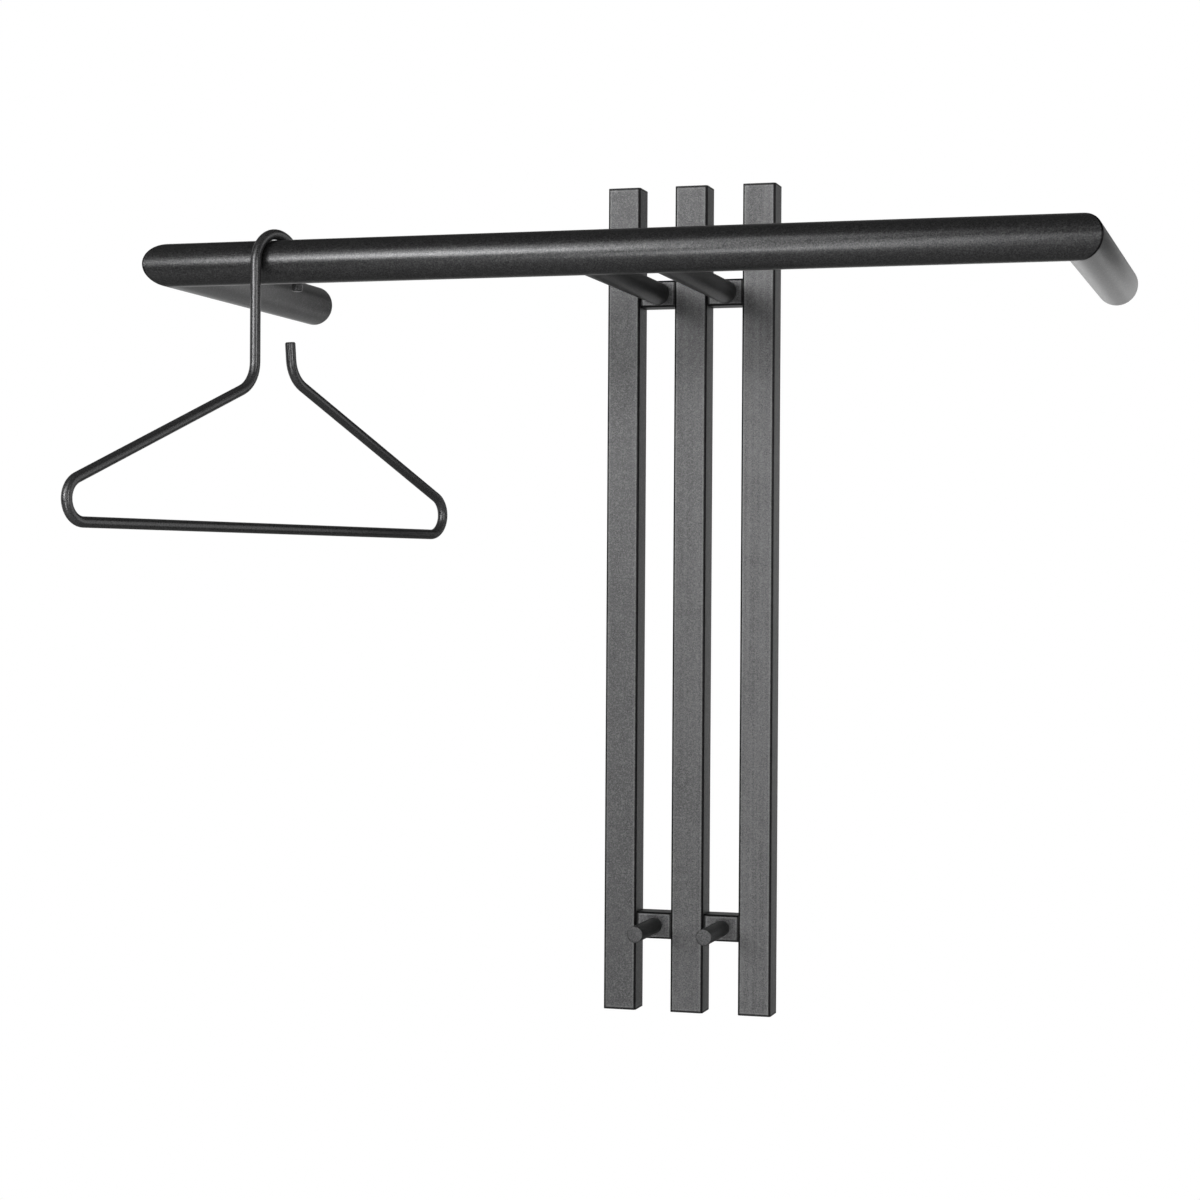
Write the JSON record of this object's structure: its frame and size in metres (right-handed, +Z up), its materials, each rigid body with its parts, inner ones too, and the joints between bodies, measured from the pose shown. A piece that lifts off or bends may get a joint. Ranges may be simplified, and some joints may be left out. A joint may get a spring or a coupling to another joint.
{
  "type": "wall coat rack",
  "caption": "Wall coat rack of slim uprights with a round rail held out on mitred returns and arms, short pegs below and a bent-rod hanger on the rail.",
  "frame": {"origin": "on the wall plane, behind the middle upright, at the height of the rail's axis", "axes": "+X to the right along the rail as seen from the room, +Y into the wall, +Z up"},
  "size_m": [0.655, 0.451, 0.62],
  "materials": {
    "frame_coat": "matte powder coat with a fine grain",
    "hanger_coat": "satin powder coat",
    "screw_steel": "zinc plated"
  },
  "bodies": {
    "rack": {"upright_left": "frame_coat", "upright_left_top_plate": "frame_coat", "upright_left_bottom_plate": "frame_coat", "upright_middle": "frame_coat", "upright_middle_top_plate": "frame_coat", "upright_middle_bottom_plate": "frame_coat", "upright_right": "frame_coat", "upright_right_top_plate": "frame_coat", "upright_right_bottom_plate": "frame_coat", "crossbar_upper_left": "frame_coat", "crossbar_upper_right": "frame_coat", "crossbar_lower_left": "frame_coat", "crossbar_lower_right": "frame_coat", "front_rail": "frame_coat", "return_left": "frame_coat", "return_right": "frame_coat", "return_plug_left": "frame_coat", "return_plug_right": "frame_coat", "arm_left": "frame_coat", "arm_right": "frame_coat", "arm_plug_left": "frame_coat", "arm_plug_right": "frame_coat", "arm_screws": "screw_steel", "peg_left": "frame_coat", "peg_right": "frame_coat", "peg_screws": "screw_steel"},
    "hanger": {"hanger": "hanger_coat"}
  },
  "joints": [
    {"name": "hanger_slide", "type": "slide", "parent": "rack", "child": "hanger", "axis": [1, 0, 0], "range_m": [-0.067, 0.188]}
  ]
}
